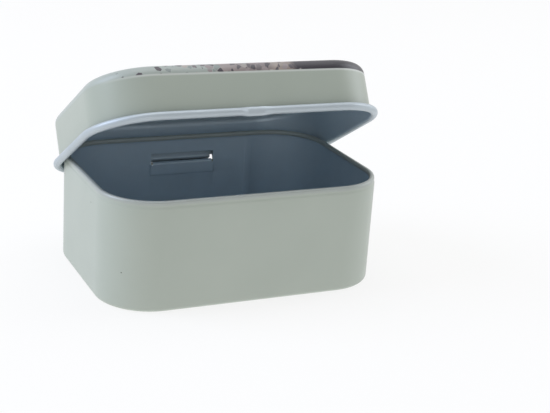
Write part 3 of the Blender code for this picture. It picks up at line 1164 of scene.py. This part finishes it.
@dataclass(frozen=True)
class Floor:
    """A white table lit from below, which fades into white and keeps the tin's shadow."""

    half_size: float = 3.0
    colour: str = "#F4F4F3"
    roughness: float = 0.9
    specular: float = 0.2
    background_share: float = 0.80
    table_share: float = 0.90
    table_glow: float = 1.35

    def build(self) -> None:
        """Lay the floor and give it its lit white finish."""
        deselect_all()
        bpy.ops.mesh.primitive_plane_add(size=2 * self.half_size, location=(0.0, 0.0, 0.0))
        floor = bpy.context.active_object
        floor.name = floor.data.name = "Floor"
        material, add, shader = new_material("White lit table")
        feed(shader, Base_Color=linear(self.colour), Roughness=self.roughness,
             Specular_IOR_Level=self.specular)
        ray = add("ShaderNodeLightPath")
        seen = add("ShaderNodeMath", {"operation": "MAXIMUM"}, i0=ray.outputs["Is Camera Ray"],
                   i1=ray.outputs["Is Glossy Ray"])
        shown = add("ShaderNodeMath", {"operation": "MAXIMUM"}, i0=seen,
                    i1=ray.outputs["Is Transmission Ray"])
        share = add("ShaderNodeMapRange", Value=shown, i3=self.table_share,
                    i4=self.background_share)
        level = add("ShaderNodeMapRange", Value=shown, i3=self.table_glow, i4=1.0)
        glow = add("ShaderNodeEmission", Strength=level)
        mixed = add("ShaderNodeMixShader", Fac=share, i1=shader, i2=glow)
        feed(material.node_tree.nodes["Material Output"], Surface=mixed)
        floor.data.materials.append(material)


@dataclass(frozen=True)
class Lamp:
    """One soft box, aimed at the tin."""

    name: str
    place: tuple[float, float, float]
    size: float
    power: float
    colour: str = "#FFFFFF"
    aim: tuple[float, float, float] = (0.0, 0.0, 0.03)

    def hang(self) -> None:
        """Hang the lamp and turn it to its aim."""
        light = bpy.data.lights.new(self.name, "AREA")
        light.shape = "DISK"
        light.size = self.size
        light.energy = self.power
        light.color = linear(self.colour)[:3]
        lamp = bpy.data.objects.new(self.name, light)
        aimed = (Vector(self.aim) - Vector(self.place)).to_track_quat("-Z", "Y")
        lamp.matrix_world = Matrix.Translation(Vector(self.place)) @ aimed.to_matrix().to_4x4()
        bpy.context.scene.collection.objects.link(lamp)


@dataclass(frozen=True)
class Studio:
    """A white studio: soft boxes round the tin, and a dimmer room in front."""

    lamps: tuple[Lamp, ...] = (
        Lamp("Key_soft_box", (-0.95, 0.35, 0.75), size=0.9, power=8.8, colour="#D8E4FF"),
        Lamp("Right_soft_box", (1.00, 0.02, 0.50), size=0.8, power=3.1, colour="#F2F6FF"),
        Lamp("Top_soft_box", (0.10, 0.20, 1.25), size=1.1, power=4.6),
        Lamp("Front_soft_box", (-0.20, -1.25, 0.16), size=0.8, power=1.7),
    )
    fill: float = 0.58
    room_share: float = 0.50
    room_edge: tuple[float, float] = (-0.9, 0.3)

    def build(self) -> None:
        """Hang the lamps and light the world."""
        for lamp in self.lamps:
            lamp.hang()
        world = bpy.data.worlds.new("White studio")
        world.use_nodes = True
        bpy.context.scene.world = world
        add = partial(add_node, world.node_tree)
        ray = add("ShaderNodeLightPath")
        mirrored = add("ShaderNodeMath", {"operation": "MAXIMUM"}, i0=ray.outputs["Is Glossy Ray"],
                       i1=ray.outputs["Is Transmission Ray"])
        way = add("ShaderNodeSeparateXYZ", Vector=add("ShaderNodeTexCoord").outputs["Generated"])
        room = add("ShaderNodeMapRange", {"interpolation_type": "SMOOTHSTEP"},
                   Value=way.outputs["Y"], i1=self.room_edge[0], i2=self.room_edge[1],
                   i3=self.room_share, i4=1.0)
        level = add("ShaderNodeMix", {"data_type": "FLOAT"}, i0=mirrored, i2=self.fill, i3=1.0)
        unseen = add("ShaderNodeMath", {"operation": "MULTIPLY"}, i0=level, i1=room)
        strength = add("ShaderNodeMix", {"data_type": "FLOAT"}, i0=ray.outputs["Is Camera Ray"],
                       i2=unseen, i3=1.0)
        feed(world.node_tree.nodes["Background"], Color=(1.0, 1.0, 1.0, 1.0), Strength=strength)


@dataclass(frozen=True)
class PhotoView:
    """The photograph's camera: a long lens at the front left, looking down a little."""

    azimuth: float = -25.96
    elevation: float = 19.05
    roll: float = -4.01
    lens: float = 81.82
    sensor: float = 36.0
    height: float = 18.9 * MM
    right: float = -20.69 * MM
    down: float = 2.40 * MM
    distance: float = 443.58 * MM
    clip_start: float = 10.0 * MM

    def build(self, middle_y: float) -> None:
        """Set up the camera.

        Args:
            middle_y: Where the middle of the body lies.
        """
        azimuth, elevation, roll = map(math.radians, (self.azimuth, self.elevation, self.roll))
        back = Vector((math.sin(azimuth) * math.cos(elevation),
                       -math.cos(azimuth) * math.cos(elevation), math.sin(elevation)))
        level = (-back).cross(Vector(UP)).normalized()
        fall = (-back).cross(level)
        right = math.cos(roll) * level + math.sin(roll) * fall
        down = -math.sin(roll) * level + math.cos(roll) * fall
        middle = Vector((0.0, middle_y, self.height))
        place = middle - right * self.right - down * self.down + back * self.distance
        data = bpy.data.cameras.new("Photo_camera")
        data.lens = self.lens
        data.sensor_width = self.sensor
        data.clip_start = self.clip_start
        camera = bpy.data.objects.new("Photo_camera", data)
        camera.matrix_world = (Matrix.Translation(place)
                               @ Matrix((right, -down, back)).transposed().to_4x4())
        bpy.context.scene.collection.objects.link(camera)
        bpy.context.scene.camera = camera


def main() -> None:
    """Build the tin, dress it and set up its stage."""
    logging.basicConfig(level=logging.INFO, format="%(message)s")
    bpy.context.scene.view_settings.view_transform = "Standard"
    foot, hinge = Footprint.from_frame(), Hinge.from_frame()
    Floor().build()
    Studio().build()
    PhotoView().build((foot.front + foot.rear) / 2)

    coat = Enamel("Grey-green stoved enamel", "#A9B1A8", "#9BA49B",
                  margin=BareMargin(foot.height)).material()
    to_hinge = Matrix.Translation((0.0, -hinge.y, -hinge.z))
    # The lid's enamel is mixed a shade darker than the body's: painted shade for the lid's front,
    # which faces up, away from the table's glow.
    printed_coat = Enamel("Grey-green stoved enamel with a pebble print", "#A6AEA4", "#98A197",
                          printed=PrintedTop()).material(to_hinge @ hinge.opened().inverted())
    # The inside lacquer and the bead's lacquer are shaded and lit copies of one lacquer: the
    # inside's is painted bluer for the shade in the tin, the bead's greyer for its lit curl.
    inside = StovedLacquer("Slate-blue stoved lacquer").material()
    lit_bead_lacquer = StovedLacquer("Slate-blue stoved lacquer burnished by curling", "#B5BEC4", "#AAB4BA",
                           metallic=0.38, roughness=0.45).material()
    cut_edge = BareSteel("Sheared tinplate edge", "#B4B6B5", roughness=0.42).material()
    wire = BareSteel("Bright drawn steel wire", "#C4C5C6", roughness=0.24).material()

    wall = BodyWall(foot, hinge)
    dress(wall.build(), (coat, inside, cut_edge), "tin", "body_wall")
    dress(BottomPanel(wall).build(), (inside, inside, cut_edge), "tin",
          "bottom_panel")
    dress(Lid(foot, hinge).build(), (printed_coat, inside, cut_edge, lit_bead_lacquer), "lid",
          "lid")
    dress(HingePin(hinge).build(), (wire,), "tin", "hinge_pin")


if __name__ == "__main__":
    main()
